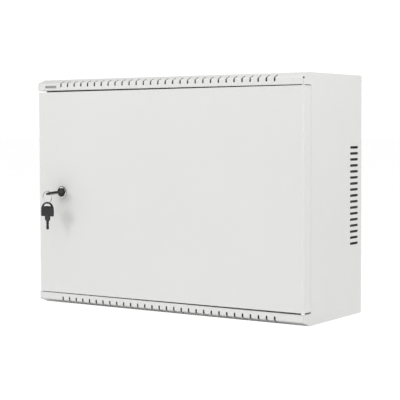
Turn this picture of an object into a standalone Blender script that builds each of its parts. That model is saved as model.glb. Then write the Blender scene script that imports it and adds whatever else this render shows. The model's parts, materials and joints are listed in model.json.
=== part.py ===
"""A 7U wall-mounted network cabinet as separate named parts, with a hinged door and a cam lock.

Dimensions are millimetres, and the helpers turn them into Blender's metres. The door faces -Y,
+Z is up, and the origin is the centre of the base. Parts that touch are kept CLEARANCE apart.
"""

import math

import bmesh
import bpy
from mathutils import Matrix, Vector

MM = 0.001

# Case
WIDTH = 540.0
HEIGHT = 396.0
DEPTH = 194.0
SIDE_X = WIDTH / 2
FRONT_Y = -DEPTH / 2
BACK_Y = DEPTH / 2
SHEET = 1.2
CLEARANCE = 0.3
CHAMFER_DEPTH = 18.0
CHAMFER_HEIGHT = 7.0
INNER_X = SIDE_X - SHEET - CLEARANCE

# Front frame and door
STRIP = 19.3
DOOR_GAP = 2.0
DOOR_RETURN = 22.1
DOOR_SEAM = 0.4
DOOR_FOLD = 3.0
DOOR_LEAN = 0.8
DOOR_LOW_Z = STRIP + DOOR_GAP
DOOR_HIGH_Z = HEIGHT - DOOR_LOW_Z
STOP_Y = FRONT_Y + DOOR_RETURN + DOOR_SEAM
STOP_WIDTH = 26.0
STOP_DROP = 10.5
SMALL_FOLD = 1.5

# Vents
STRIP_SLOTS = 30
STRIP_SLOT_PITCH = 15.0
STRIP_SLOT_WIDTH = 3.3
STRIP_SLOT_INSET = 14.0
STRIP_SLOT_EDGE = 3.0
STRIP_SLOT_REACH = 16.0
SIDE_SLOTS = 17
SIDE_SLOT_PITCH = 9.915
SIDE_SLOT_LENGTH = 28.6
SIDE_SLOT_HEIGHT = 4.2
SIDE_SLOT_Y = 71.0
CORNER_RELIEF_RADIUS = 1.5
CORNER_RELIEF_DROP = 8.7

# Hinge
HINGE_X = SIDE_X - DOOR_FOLD
HINGE_Y = FRONT_Y + DOOR_FOLD
PIN_RADIUS = 1.4
PIN_HOLE_RADIUS = 1.7
PIN_REACH = 5.5
WASHER_RADIUS = 2.9

# Lock, keys and ring
LOCK_X = -216.5
LOCK_Z = 199.0
LOCK_HEAD_RADIUS = 10.2
LOCK_HEAD_Y = FRONT_Y - 3.0
BARREL_RADIUS = 8.0
BARREL_END_Y = STOP_Y + 1.5
BORE_RADIUS = 6.3
PLUG_RADIUS = 6.0
PLUG_END_Y = BARREL_END_Y + CLEARANCE
CAM_Y = PLUG_END_Y + 0.5
CAM_THICKNESS = 2.0
CAM_LENGTH = 38.0
CAM_WIDTH = 12.0
BOSS_WIDTH = 7.0
KEYWAY_END_Y = FRONT_Y + 12.5
KEYWAY_HALF_WIDTH = 3.1
KEYWAY_HALF_HEIGHT = 1.3
KEY_TILT = 10.5
KEY_Z = LOCK_Z - 1.0
KEY_END_Y = FRONT_Y - 37.0
KEY_LENGTH = 48.0
KEY_THICKNESS = 2.0
KEY_HEAD_THICKNESS = 3.6
KEY_HEAD_RADIUS = 13.3
KEY_HEAD_LENGTH = 24.8
KEY_COLLAR_RADIUS = 5.0
KEY_COLLAR_END = 31.0
KEY_COLLAR_LAP = 2.0
KEY_BLADE_START = 33.4
KEY_BLADE_RADIUS = 2.8
KEY_RIM = 2.3
KEY_HOLE_END = 8.1
RING_RADIUS = 11.1
RING_WIRE = 0.5
RING_Y = KEY_END_Y - 3.1
RING_Z = LOCK_Z - 8.0
SPARE_DROP = 15.8
DOOR_BARREL_HOLE_RADIUS = BARREL_RADIUS + CLEARANCE
LOCK_NUT_RADIUS = 12.7
LOCK_NUT_THICKNESS = 3.0
CAM_SCREW_RADIUS = 1.8
CAM_SCREW_HOLE_RADIUS = 2.1
CAM_SCREW_LENGTH = 7.2
CAM_SCREW_HEAD_RADIUS = 4.0
CAM_SCREW_HEAD_HEIGHT = 2.5

# 19-inch mounting rails
RACK_UNIT = 44.45
RACK_UNITS = 7
UNIT_HOLES = (6.35, 22.225, 38.1)
RAIL_HOLE_X = 232.55
RAIL_HOLE_SIZE = 9.5
RAIL_INNER_X = 225.4
RAIL_OUTER_X = 253.4
RAIL_Y = -62.0
RAIL_BACK_Y = -30.0
RAIL_THICKNESS = 2.0
RAIL_HEIGHT = 314.0
BRACKET_Z = (60.0, HEIGHT - 60.0)
BRACKET_HEIGHT = 24.0
BRACKET_THICKNESS = 1.5
RAIL_SCREW_Y = -46.0
RAIL_SCREW_RADIUS = 2.1
RAIL_SCREW_HOLE_RADIUS = 2.5
RAIL_SCREW_HEAD_RADIUS = 4.2
RAIL_SCREW_HEAD_HEIGHT = 2.2
RAIL_SCREW_LENGTH = 9.0

# Back panel and cable entries
KEYHOLE_X = 200.0
KEYHOLE_Z = (45.0, 345.0)
KEYHOLE_RADIUS = 6.0
KEYHOLE_SLOT_RADIUS = 3.5
KEYHOLE_SLOT_RISE = 12.0
REAR_CUTOUT_X = 100.0
REAR_CUTOUT_Z = (318.0, 368.0)
ENTRY_X = 110.0
ENTRY_Y = (15.0, 75.0)
ENTRY_COVER_X = 120.0
ENTRY_COVER_Y = (8.0, 82.0)
ENTRY_SCREW_X = 115.0
ENTRY_SCREW_Y = 45.0
ENTRY_COVER_THICKNESS = 1.0
ENTRY_SCREW_RADIUS = 2.0
ENTRY_SCREW_HOLE_RADIUS = 2.4
ENTRY_SCREW_HEAD_RADIUS = 4.0
ENTRY_SCREW_HEAD_HEIGHT = 2.2
ENTRY_SCREW_LENGTH = 2.6

# Nameplate and earth stud
NAMEPLATE_X = (-253.0, -228.0)
NAMEPLATE_Z = (381.45, 384.95)
NAMEPLATE_THICKNESS = 0.6
STUD_X = -190.0
STUD_Z = 40.0
STUD_RADIUS = 3.0
STUD_LENGTH = 16.0
STUD_NUT_RADIUS = 5.8
STUD_NUT_REACH = (4.0, 9.0)


def clear_scene():
    for obj in list(bpy.data.objects):
        bpy.data.objects.remove(obj)
    for collection in list(bpy.data.collections):
        bpy.data.collections.remove(collection)


def make_collection(name):
    collection = bpy.data.collections.new(name)
    bpy.context.scene.collection.children.link(collection)
    return collection


def make_material(name, colour, metallic, roughness):
    material = bpy.data.materials.new(name)
    material.use_nodes = True
    shader = material.node_tree.nodes["Principled BSDF"]
    shader.inputs["Base Color"].default_value = (*colour, 1)
    shader.inputs["Metallic"].default_value = metallic
    shader.inputs["Roughness"].default_value = roughness
    return material


clear_scene()
CABINET = make_collection("network_cabinet")
CUTTERS = make_collection("cutters")
CUTTERS.hide_render = True

POWDER_COAT = make_material("powder_coat", (0.6, 0.6, 0.585), 0.0, 0.45)
ZINC = make_material("zinc_plate", (0.62, 0.63, 0.64), 1.0, 0.35)
CHROME = make_material("chrome", (0.78, 0.78, 0.8), 1.0, 0.12)
DARK_CHROME = make_material("dark_chrome", (0.14, 0.14, 0.145), 1.0, 0.2)
BRASS = make_material("plug_brass", (0.6, 0.52, 0.36), 1.0, 0.3)
NICKEL = make_material("key_nickel", (0.16, 0.16, 0.165), 1.0, 0.3)
NYLON = make_material("nylon", (0.85, 0.84, 0.8), 0.0, 0.5)
PLATE_GREY = make_material("nameplate_grey", (0.35, 0.36, 0.38), 0.0, 0.5)


def place_mesh(name, mesh, material):
    """A node whose mesh is already in its world position, shaded smooth except at hard edges."""
    obj = bpy.data.objects.new(name, mesh)
    if material is None:
        obj.hide_render = True
        obj.display_type = "WIRE"
        CUTTERS.objects.link(obj)
        return obj
    mesh.materials.append(material)
    mesh.shade_smooth()
    mesh.set_sharp_from_angle(angle=math.radians(35))
    CABINET.objects.link(obj)
    return obj


def mesh_from(name, shape):
    mesh = bpy.data.meshes.new(name)
    shape.to_mesh(mesh)
    shape.free()
    return mesh


def add_box(name, low, high, material=None):
    low, high = Vector(low) * MM, Vector(high) * MM
    shape = bmesh.new()
    size = high - low
    matrix = Matrix.Translation((low + high) / 2) @ Matrix.Diagonal((*size, 1))
    bmesh.ops.create_cube(shape, size=1, matrix=matrix)
    return place_mesh(name, mesh_from(name, shape), material)


def add_cylinder(name, start, end, radius, segments, material=None):
    """A round bar between two points. Six segments make a hexagon across corners."""
    start, end = Vector(start) * MM, Vector(end) * MM
    turn = (end - start).to_track_quat("Z", "Y").to_matrix().to_4x4()
    shape = bmesh.new()
    bmesh.ops.create_cone(
        shape,
        cap_ends=True,
        segments=segments,
        radius1=radius * MM,
        radius2=radius * MM,
        depth=(end - start).length,
        matrix=Matrix.Translation((start + end) / 2) @ turn,
    )
    return place_mesh(name, mesh_from(name, shape), material)


def arc(centre, radius, start, end, steps):
    """Points on an arc between two angles in degrees."""
    points = []
    for step in range(steps + 1):
        angle = math.radians(start + (end - start) * step / steps)
        across = centre[0] + radius * math.cos(angle)
        up = centre[1] + radius * math.sin(angle)
        points.append((across, up))
    return points


def round_corner(before, corner, after, radius, steps):
    """The arc that replaces a corner of a path."""
    corner = Vector(corner)
    first = (Vector(before) - corner).normalized()
    second = (Vector(after) - corner).normalized()
    half = first.angle(second) / 2
    centre = corner + (first + second).normalized() * (radius / math.sin(half))
    start = corner + first * (radius / math.tan(half)) - centre
    end = corner + second * (radius / math.tan(half)) - centre
    sweep = math.degrees(start.angle_signed(end))
    begin = math.degrees(math.atan2(start.y, start.x))
    return arc(centre, radius, begin, begin - sweep, steps)


def folded_path(corners, radii, steps):
    """A path whose inner corners are rounded as the bends of a sheet."""
    points = [tuple(corners[0])]
    for index, radius in enumerate(radii, start=1):
        points += round_corner(*corners[index - 1 : index + 2], radius, steps)
    points.append(tuple(corners[-1]))
    return points


def stadium(centre, length, width, upright, steps):
    """A slot outline with round ends."""
    reach, radius = (length - width) / 2, width / 2
    if upright:
        top = arc((centre[0], centre[1] + reach), radius, 0, 180, steps)
        return top + arc((centre[0], centre[1] - reach), radius, 180, 360, steps)
    right = arc((centre[0] + reach, centre[1]), radius, -90, 90, steps)
    return right + arc((centre[0] - reach, centre[1]), radius, 90, 270, steps)


def rectangle(low, high):
    return [(low[0], low[1]), (high[0], low[1]), (high[0], high[1]), (low[0], high[1])]


PLANES = {
    "XY": Matrix.Identity(4),
    "XZ": Matrix(((1, 0, 0, 0), (0, 0, -1, 0), (0, 1, 0, 0), (0, 0, 0, 1))),
    "YZ": Matrix(((0, 0, 1, 0), (1, 0, 0, 0), (0, 1, 0, 0), (0, 0, 0, 1))),
}


def add_plate(name, plane, loops, low, high, material=None):
    """A flat plate. The first loop is its outline and the others are holes; low and high are
    its two faces along the plane's normal."""
    curve = bpy.data.curves.new(name, "CURVE")
    curve.dimensions = "2D"
    curve.fill_mode = "BOTH"
    curve.extrude = (high - low) / 2 * MM
    for loop in loops:
        spline = curve.splines.new("POLY")
        spline.points.add(len(loop) - 1)
        spline.use_cyclic_u = True
        for point, (across, up) in zip(spline.points, loop):
            point.co = (across * MM, up * MM, 0, 1)
    helper = bpy.data.objects.new(name + "_outline", curve)
    bpy.context.scene.collection.objects.link(helper)
    graph = bpy.context.evaluated_depsgraph_get()
    mesh = bpy.data.meshes.new_from_object(helper.evaluated_get(graph))
    bpy.data.objects.remove(helper)
    shape = bmesh.new()
    shape.from_mesh(mesh)
    bmesh.ops.remove_doubles(shape, verts=shape.verts, dist=1e-6)
    normal = PLANES[plane].to_3x3() @ Vector((0, 0, 1))
    middle = (low + high) / 2 * MM * sum(normal)
    shape.transform(Matrix.Translation(normal * middle) @ PLANES[plane])
    bmesh.ops.recalc_face_normals(shape, faces=shape.faces)
    return place_mesh(name, mesh_from(name, shape), material)


def add_sheet(name, path, to_world, sweep, outward, thickness, material):
    """A folded sheet: a path swept straight, then thickened inwards. to_world turns a path point
    into millimetres, and outward is the side the path's first face looks at."""
    shape = bmesh.new()
    points = [shape.verts.new(Vector(to_world(a, b)) * MM) for a, b in path]
    edges = [shape.edges.new(pair) for pair in zip(points, points[1:])]
    swept = bmesh.ops.extrude_edge_only(shape, edges=edges)["geom"]
    moved = [item for item in swept if isinstance(item, bmesh.types.BMVert)]
    bmesh.ops.translate(shape, verts=moved, vec=Vector(sweep) * MM)
    bmesh.ops.recalc_face_normals(shape, faces=shape.faces)
    shape.faces.ensure_lookup_table()
    first = min(shape.faces, key=lambda face: (face.calc_center_median() - points[0].co).length)
    if first.normal.dot(Vector(outward)) < 0:
        bmesh.ops.reverse_faces(shape, faces=shape.faces)
    obj = place_mesh(name, mesh_from(name, shape), material)
    solidify = obj.modifiers.new("thickness", "SOLIDIFY")
    solidify.thickness = thickness * MM
    solidify.offset = -1
    solidify.use_even_offset = True
    return obj


def add_turned(name, axis_start, profile, segments, material):
    """A part turned about Y. The profile runs round the wall as (radius, y) points."""
    shape = bmesh.new()
    centre = Vector(axis_start) * MM
    points = []
    for radius, along in profile:
        points.append(shape.verts.new(centre + Vector((radius, along, 0)) * MM))
    edges = [shape.edges.new(pair) for pair in zip(points, points[1:])]
    if profile[0][0] > 0:
        edges.append(shape.edges.new((points[-1], points[0])))
    bmesh.ops.spin(
        shape,
        geom=points + edges,
        cent=centre,
        axis=(0, 1, 0),
        angle=math.tau,
        steps=segments,
        use_merge=True,
    )
    bmesh.ops.remove_doubles(shape, verts=shape.verts, dist=1e-6)
    bmesh.ops.recalc_face_normals(shape, faces=shape.faces)
    return place_mesh(name, mesh_from(name, shape), material)


def boolean(target, other, operation):
    modifier = target.modifiers.new(other.name, "BOOLEAN")
    modifier.operation = operation
    modifier.solver = "EXACT"
    modifier.object = other


def cut(target, cutter):
    boolean(target, cutter, "DIFFERENCE")


def join(target, addition):
    boolean(target, addition, "UNION")


def merge_cutters(name, pieces):
    """Many separate cutters as one object, so that one Boolean cuts them all."""
    shape = bmesh.new()
    for piece in pieces:
        shape.from_mesh(piece.data)
        bpy.data.objects.remove(piece)
    return place_mesh(name, mesh_from(name, shape), None)


def put_origin(obj, point):
    """Moves an object's origin and leaves its shape where it is."""
    point = Vector(point) * MM
    obj.data.transform(Matrix.Translation(-point))
    obj.location = point


def flip_z(path):
    return [(across, HEIGHT - up) for across, up in path]


def case_outline():
    """The side view of a side panel, with the notch that the door's return closes."""
    bottom_front = [
        (BACK_Y, 0.0),
        (FRONT_Y + CHAMFER_DEPTH, 0.0),
        (FRONT_Y, CHAMFER_HEIGHT),
        (FRONT_Y, STRIP),
        (STOP_Y, STRIP),
    ]
    return bottom_front + flip_z(bottom_front)[::-1]


def corner_relief(side):
    """The small round hole where the folds of an upper front corner meet."""
    height = HEIGHT - CORNER_RELIEF_DROP
    start = (side * (SIDE_X + 4), FRONT_Y - 4, height)
    end = (side * (SIDE_X - 4), FRONT_Y + 4, height)
    return add_cylinder("relief", start, end, CORNER_RELIEF_RADIUS, 12)


def add_side_panel(name, side):
    low_x = side * (SIDE_X - SHEET / 2) - SHEET / 2
    slots = []
    for index in range(SIDE_SLOTS):
        height = HEIGHT / 2 + (index - (SIDE_SLOTS - 1) / 2) * SIDE_SLOT_PITCH
        slots.append(stadium((SIDE_SLOT_Y, height), SIDE_SLOT_LENGTH, SIDE_SLOT_HEIGHT, False, 4))
    loops = [case_outline(), *slots]
    panel = add_plate(name, "YZ", loops, low_x, low_x + SHEET, POWDER_COAT)
    near, far = SIDE_X - SHEET / 2, SIDE_X - STOP_WIDTH
    low_z = STRIP + SHEET + STOP_DROP + CLEARANCE
    low = (min(side * near, side * far), STOP_Y, low_z)
    high = (max(side * near, side * far), STOP_Y + SHEET, HEIGHT - low_z)
    join(panel, add_box(name + "_stop_flange", low, high))
    cut(panel, merge_cutters(name + "_relief", [corner_relief(side)]))
    return panel


def strip_slots(name, on_top):
    """The row of narrow upright vents in a front strip and its chamfer."""
    middle = (STRIP_SLOT_INSET + STRIP_SLOT_EDGE) / 2
    length = STRIP_SLOT_INSET - STRIP_SLOT_EDGE
    pieces = []
    for index in range(STRIP_SLOTS):
        across = (index - (STRIP_SLOTS - 1) / 2) * STRIP_SLOT_PITCH
        height = HEIGHT - middle if on_top else middle
        slot = stadium((across, height), length, STRIP_SLOT_WIDTH, True, 3)
        pieces.append(add_plate("slot", "XZ", [slot], FRONT_Y - 3, FRONT_Y + STRIP_SLOT_REACH))
    return merge_cutters(name, pieces)


def add_cover(name, on_top):
    """The top or bottom of the case: roof, chamfer, front strip and the door's stop."""
    corners = [
        (BACK_Y, HEIGHT),
        (FRONT_Y + CHAMFER_DEPTH, HEIGHT),
        (FRONT_Y, HEIGHT - CHAMFER_HEIGHT),
        (FRONT_Y, HEIGHT - STRIP),
        (STOP_Y, HEIGHT - STRIP),
        (STOP_Y, HEIGHT - STRIP - SHEET - STOP_DROP),
    ]
    radii = (DOOR_FOLD, DOOR_FOLD, SMALL_FOLD, SMALL_FOLD)
    if not on_top:
        corners = flip_z(corners)
    cover = add_sheet(
        name,
        folded_path([Vector(corner) for corner in corners], radii, 3),
        lambda along, up: (-INNER_X, along, up),
        (2 * INNER_X, 0, 0),
        (0, 0, 1 if on_top else -1),
        SHEET,
        POWDER_COAT,
    )
    cut(cover, strip_slots(name + "_slots", on_top))
    flange_z = HEIGHT - STRIP if on_top else STRIP
    skin_z = HEIGHT if on_top else 0.0
    ends = (HINGE_X, HINGE_Y, flange_z - 2), (HINGE_X, HINGE_Y, flange_z + 2)
    pieces = [add_cylinder("pin", *ends, PIN_HOLE_RADIUS, 16)]
    low, high = (-ENTRY_X, ENTRY_Y[0], skin_z - 4), (ENTRY_X, ENTRY_Y[1], skin_z + 4)
    pieces.append(add_box("entry", low, high))
    for side in (-1, 1):
        start = (side * ENTRY_SCREW_X, ENTRY_SCREW_Y, skin_z - 4)
        end = (side * ENTRY_SCREW_X, ENTRY_SCREW_Y, skin_z + 4)
        pieces.append(add_cylinder("screw", start, end, ENTRY_SCREW_HOLE_RADIUS, 12))
        if on_top:
            pieces.append(corner_relief(side))
    cut(cover, merge_cutters(name + "_holes", pieces))
    return cover


def keyhole(centre_x, centre_z):
    """A wall fixing: a round hole with a narrower slot rising from it."""
    rise = math.sqrt(KEYHOLE_RADIUS**2 - KEYHOLE_SLOT_RADIUS**2)
    tilt = math.degrees(math.atan2(rise, KEYHOLE_SLOT_RADIUS))
    head = arc((centre_x, centre_z), KEYHOLE_RADIUS, 180 - tilt, 360 + tilt, 14)
    slot = arc((centre_x, centre_z + KEYHOLE_SLOT_RISE), KEYHOLE_SLOT_RADIUS, 0, 180, 6)
    return head + slot


def add_back_panel():
    low_z = SHEET + CLEARANCE
    outline = rectangle((-INNER_X, low_z), (INNER_X, HEIGHT - low_z))
    cutout = rectangle((-REAR_CUTOUT_X, REAR_CUTOUT_Z[0]), (REAR_CUTOUT_X, REAR_CUTOUT_Z[1]))
    loops = [outline, cutout]
    for across in (-KEYHOLE_X, KEYHOLE_X):
        loops += [keyhole(across, height) for height in KEYHOLE_Z]
    return add_plate("back_panel", "XZ", loops, BACK_Y - SHEET, BACK_Y, POWDER_COAT)


def lean(obj):
    """Sets a door part out of true, so that it drops towards the lock and rises at the hinge."""
    shear = Matrix.Identity(4)
    shear[2][0] = DOOR_LEAN / SIDE_X
    obj.data.transform(shear)


def add_door():
    edge_y = FRONT_Y + DOOR_RETURN
    corners = [(-SIDE_X, edge_y), (-SIDE_X, FRONT_Y), (SIDE_X, FRONT_Y), (SIDE_X, edge_y)]
    door = add_sheet(
        "door_panel",
        folded_path([Vector(corner) for corner in corners], (DOOR_FOLD, DOOR_FOLD), 6),
        lambda across, along: (across, along, DOOR_LOW_Z),
        (0, 0, DOOR_HIGH_Z - DOOR_LOW_Z),
        (-1, 0, 0),
        SHEET,
        POWDER_COAT,
    )
    lean(door)
    half = SHEET / 2
    inner = [
        (-SIDE_X + half, edge_y),
        (-SIDE_X + half, FRONT_Y + half),
        (SIDE_X - half, FRONT_Y + half),
        (SIDE_X - half, edge_y),
    ]
    fold = DOOR_FOLD - half
    outline = folded_path([Vector(corner) for corner in inner], (fold, fold), 6)
    for name, low_z in (
        ("door_lower_return", DOOR_LOW_Z + CLEARANCE),
        ("door_upper_return", DOOR_HIGH_Z - CLEARANCE - SHEET),
    ):
        flange = add_plate(name, "XY", [outline], low_z, low_z + SHEET)
        lean(flange)
        join(door, flange)
    ends = (LOCK_X, FRONT_Y - 4, LOCK_Z), (LOCK_X, FRONT_Y + 4, LOCK_Z)
    holes = [add_cylinder("lock", *ends, DOOR_BARREL_HOLE_RADIUS, 32)]
    for height in (DOOR_LOW_Z, DOOR_HIGH_Z):
        start, end = (HINGE_X, HINGE_Y, height - 4), (HINGE_X, HINGE_Y, height + 4)
        holes.append(add_cylinder("pin", start, end, PIN_HOLE_RADIUS, 16))
    cut(door, merge_cutters("door_holes", holes))
    put_origin(door, (HINGE_X, HINGE_Y, HEIGHT / 2))
    return door


def add_hinge(name, low_z, high_z):
    """A hinge pin, and the washer that fills the gap between two heights at the door's edge."""
    middle = (low_z + high_z) / 2
    reach = DOOR_GAP / 2 + PIN_REACH
    ends = (HINGE_X, HINGE_Y, middle - reach), (HINGE_X, HINGE_Y, middle + reach)
    add_cylinder(name + "_hinge_pin", *ends, PIN_RADIUS, 16, ZINC)
    outline = arc((HINGE_X, HINGE_Y), WASHER_RADIUS, 0, 345, 23)
    hole = arc((HINGE_X, HINGE_Y), PIN_HOLE_RADIUS, 0, 330, 11)
    faces = low_z + CLEARANCE, high_z - CLEARANCE
    add_plate(name + "_hinge_washer", "XY", [outline, hole], *faces, NYLON)


def add_lock():
    axis = (LOCK_X, 0, LOCK_Z)
    under_head = FRONT_Y - CLEARANCE
    profile = [
        (BORE_RADIUS, LOCK_HEAD_Y + 0.4),
        (BORE_RADIUS + 0.4, LOCK_HEAD_Y),
        (LOCK_HEAD_RADIUS - 1.0, LOCK_HEAD_Y),
        (LOCK_HEAD_RADIUS, LOCK_HEAD_Y + 1.2),
        (LOCK_HEAD_RADIUS, under_head),
        (BARREL_RADIUS, under_head),
        (BARREL_RADIUS, BARREL_END_Y),
        (BORE_RADIUS, BARREL_END_Y),
    ]
    add_turned("lock_housing", axis, profile, 32, DARK_CHROME)

    nut_start = FRONT_Y + SHEET + CLEARANCE
    ends = (LOCK_X, nut_start, LOCK_Z), (LOCK_X, nut_start + LOCK_NUT_THICKNESS, LOCK_Z)
    nut = add_cylinder("lock_nut", *ends, LOCK_NUT_RADIUS, 6, ZINC)
    ends = (LOCK_X, nut_start - 4, LOCK_Z), (LOCK_X, nut_start + 7, LOCK_Z)
    cut(nut, add_cylinder("lock_nut_bore", *ends, DOOR_BARREL_HOLE_RADIUS, 32))

    plug = add_cylinder(
        "lock_plug",
        (LOCK_X, LOCK_HEAD_Y + CLEARANCE, LOCK_Z),
        (LOCK_X, PLUG_END_Y, LOCK_Z),
        PLUG_RADIUS,
        28,
        BRASS,
    )
    half = BOSS_WIDTH / 2
    boss_end = CAM_Y + CAM_THICKNESS + CLEARANCE
    low = (LOCK_X - half, PLUG_END_Y - 2, LOCK_Z - half)
    join(plug, add_box("plug_boss", low, (LOCK_X + half, boss_end, LOCK_Z + half)))
    keyway = add_box(
        "keyway",
        (LOCK_X - KEYWAY_HALF_WIDTH, LOCK_HEAD_Y - 3, KEY_Z - KEYWAY_HALF_HEIGHT),
        (LOCK_X + KEYWAY_HALF_WIDTH, KEYWAY_END_Y, KEY_Z + KEYWAY_HALF_HEIGHT),
    )
    tilt_key(keyway)
    ends = (LOCK_X, boss_end - 7.5, LOCK_Z), (LOCK_X, boss_end + 3, LOCK_Z)
    tapped = add_cylinder("plug_thread", *ends, CAM_SCREW_HOLE_RADIUS, 12)
    cut(plug, merge_cutters("plug_cuts", [keyway, tapped]))
    put_origin(plug, (LOCK_X, LOCK_HEAD_Y, LOCK_Z))

    add_cam()
    head_start = boss_end + CLEARANCE
    head_end = head_start + CAM_SCREW_HEAD_HEIGHT
    profile = [
        (0, head_start - CAM_SCREW_LENGTH),
        (CAM_SCREW_RADIUS, head_start - CAM_SCREW_LENGTH),
        (CAM_SCREW_RADIUS, head_start),
        (CAM_SCREW_HEAD_RADIUS, head_start),
        (CAM_SCREW_HEAD_RADIUS, head_end - 0.7),
        (CAM_SCREW_HEAD_RADIUS - 0.7, head_end),
        (0, head_end),
    ]
    screw = add_turned("cam_screw", axis, profile, 20, ZINC)
    put_origin(screw, (LOCK_X, head_start, LOCK_Z))


def tilt_key(obj):
    """Turns a flat key shape a little about its own length, as the key stands in the lock."""
    middle = Vector((LOCK_X, 0, KEY_Z)) * MM
    turn = Matrix.Rotation(math.radians(-KEY_TILT), 4, "Y")
    obj.data.transform(Matrix.Translation(middle) @ turn @ Matrix.Translation(-middle))


def add_cam():
    """The latch arm. It points up while unlocked, clear of the left stop flange."""
    half = CAM_WIDTH / 2
    pivot = arc((LOCK_X, LOCK_Z), 8.0, 138.6, 401.4, 16)
    tip = [
        (LOCK_X + half, LOCK_Z + CAM_LENGTH - 2),
        (LOCK_X + half - 2, LOCK_Z + CAM_LENGTH),
        (LOCK_X - half + 2, LOCK_Z + CAM_LENGTH),
        (LOCK_X - half, LOCK_Z + CAM_LENGTH - 2),
    ]
    hole_half = BOSS_WIDTH / 2 + CLEARANCE
    hole = rectangle(
        (LOCK_X - hole_half, LOCK_Z - hole_half),
        (LOCK_X + hole_half, LOCK_Z + hole_half),
    )
    cam = add_plate("lock_cam", "XZ", [pivot + tip, hole], CAM_Y, CAM_Y + CAM_THICKNESS, ZINC)
    put_origin(cam, (LOCK_X, CAM_Y, LOCK_Z))


def key_head_loops():
    """The outline of a key's head and collar, and its ring hole, measured along from its end."""
    head = arc((0, KEY_HEAD_RADIUS), KEY_HEAD_RADIUS, 180, 360, 16)
    right = [
        (KEY_HEAD_RADIUS, KEY_HEAD_LENGTH - 2),
        (KEY_HEAD_RADIUS - 2, KEY_HEAD_LENGTH),
        (KEY_COLLAR_RADIUS, KEY_HEAD_LENGTH + 0.3),
        (KEY_COLLAR_RADIUS, KEY_COLLAR_END),
    ]
    left = [(-across, along) for across, along in right[::-1]]
    hole_radius = KEY_HEAD_RADIUS - KEY_RIM
    drop = KEY_HEAD_RADIUS - KEY_HOLE_END
    span = math.degrees(math.acos(drop / hole_radius))
    hole = arc((0, KEY_HEAD_RADIUS), hole_radius, 270 - span, 270 + span, 10)
    return [head + right + left, hole]


def key_blade_loop():
    """The outline of a key's blade, which starts inside the collar."""
    shoulder = KEY_COLLAR_RADIUS - 0.4
    right = [
        (shoulder, KEY_COLLAR_END - KEY_COLLAR_LAP),
        (shoulder, KEY_COLLAR_END + 0.3),
        (KEY_BLADE_RADIUS, KEY_BLADE_START),
        (KEY_BLADE_RADIUS, KEY_LENGTH - 2),
        (0.6, KEY_LENGTH),
    ]
    return right + [(-across, along) for across, along in right[::-1]]


def add_key(name, plane, end, direction, middle):
    """A key with a thick head, from its end along its plane. Returns the key and its blade."""

    def placed(loop):
        return [(LOCK_X + across, end + direction * along) for across, along in loop]

    half = KEY_HEAD_THICKNESS / 2
    loops = [placed(loop) for loop in key_head_loops()]
    key = add_plate(name, plane, loops, middle - half, middle + half, NICKEL)
    half = KEY_THICKNESS / 2
    loops = [placed(key_blade_loop())]
    blade = add_plate(name + "_blade", plane, loops, middle - half, middle + half)
    join(key, blade)
    return key, blade


def add_keys():
    key, blade = add_key("key", "XY", KEY_END_Y, 1, KEY_Z)
    tilt_key(key)
    tilt_key(blade)
    put_origin(key, (LOCK_X, KEY_END_Y + KEY_HEAD_LENGTH, KEY_Z))

    circle = bpy.data.curves.new("split_ring", "CURVE")
    circle.dimensions = "3D"
    circle.bevel_depth = RING_WIRE * MM
    circle.bevel_resolution = 1
    centre = (RING_Y, RING_Z)
    points = arc(centre, RING_RADIUS, 0, 350, 35)
    spline = circle.splines.new("POLY")
    spline.points.add(len(points) - 1)
    spline.use_cyclic_u = True
    for point, (along, up) in zip(spline.points, points):
        point.co = (LOCK_X * MM, along * MM, up * MM, 1)
    helper = bpy.data.objects.new("split_ring_line", circle)
    bpy.context.scene.collection.objects.link(helper)
    graph = bpy.context.evaluated_depsgraph_get()
    mesh = bpy.data.meshes.new_from_object(helper.evaluated_get(graph))
    bpy.data.objects.remove(helper)
    ring = place_mesh("split_ring", mesh, CHROME)
    pivot_y = RING_Y + math.sqrt(RING_RADIUS**2 - (KEY_Z - RING_Z) ** 2)
    put_origin(ring, (LOCK_X, pivot_y, KEY_Z))

    spare, _ = add_key("spare_key", "XZ", LOCK_Z - SPARE_DROP, -1, RING_Y)
    put_origin(spare, (LOCK_X, RING_Y, RING_Z - RING_RADIUS))


def add_rail(name, side):
    """An L-section rail with the square holes of seven rack units."""
    low_z = (HEIGHT - RAIL_HEIGHT) / 2
    corners = [
        (side * RAIL_INNER_X, RAIL_Y),
        (side * RAIL_OUTER_X, RAIL_Y),
        (side * RAIL_OUTER_X, RAIL_BACK_Y),
    ]
    rail = add_sheet(
        name,
        folded_path([Vector(corner) for corner in corners], (2.5,), 3),
        lambda across, along: (across, along, low_z),
        (0, 0, RAIL_HEIGHT),
        (0, -1, 0),
        RAIL_THICKNESS,
        ZINC,
    )
    first_unit = HEIGHT / 2 - RACK_UNITS * RACK_UNIT / 2
    half = RAIL_HOLE_SIZE / 2
    holes = []
    for unit in range(RACK_UNITS):
        for offset in UNIT_HOLES:
            height = first_unit + unit * RACK_UNIT + offset
            low = (side * RAIL_HOLE_X - half, RAIL_Y - 2, height - half)
            high = (side * RAIL_HOLE_X + half, RAIL_Y + 6, height + half)
            holes.append(add_box("square", low, high))
    for height in BRACKET_Z:
        start = (side * (RAIL_OUTER_X - 5), RAIL_SCREW_Y, height)
        end = (side * (RAIL_OUTER_X + 2), RAIL_SCREW_Y, height)
        holes.append(add_cylinder("screw", start, end, RAIL_SCREW_HOLE_RADIUS, 12))
    cut(rail, merge_cutters(name + "_holes", holes))
    return rail


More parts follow.
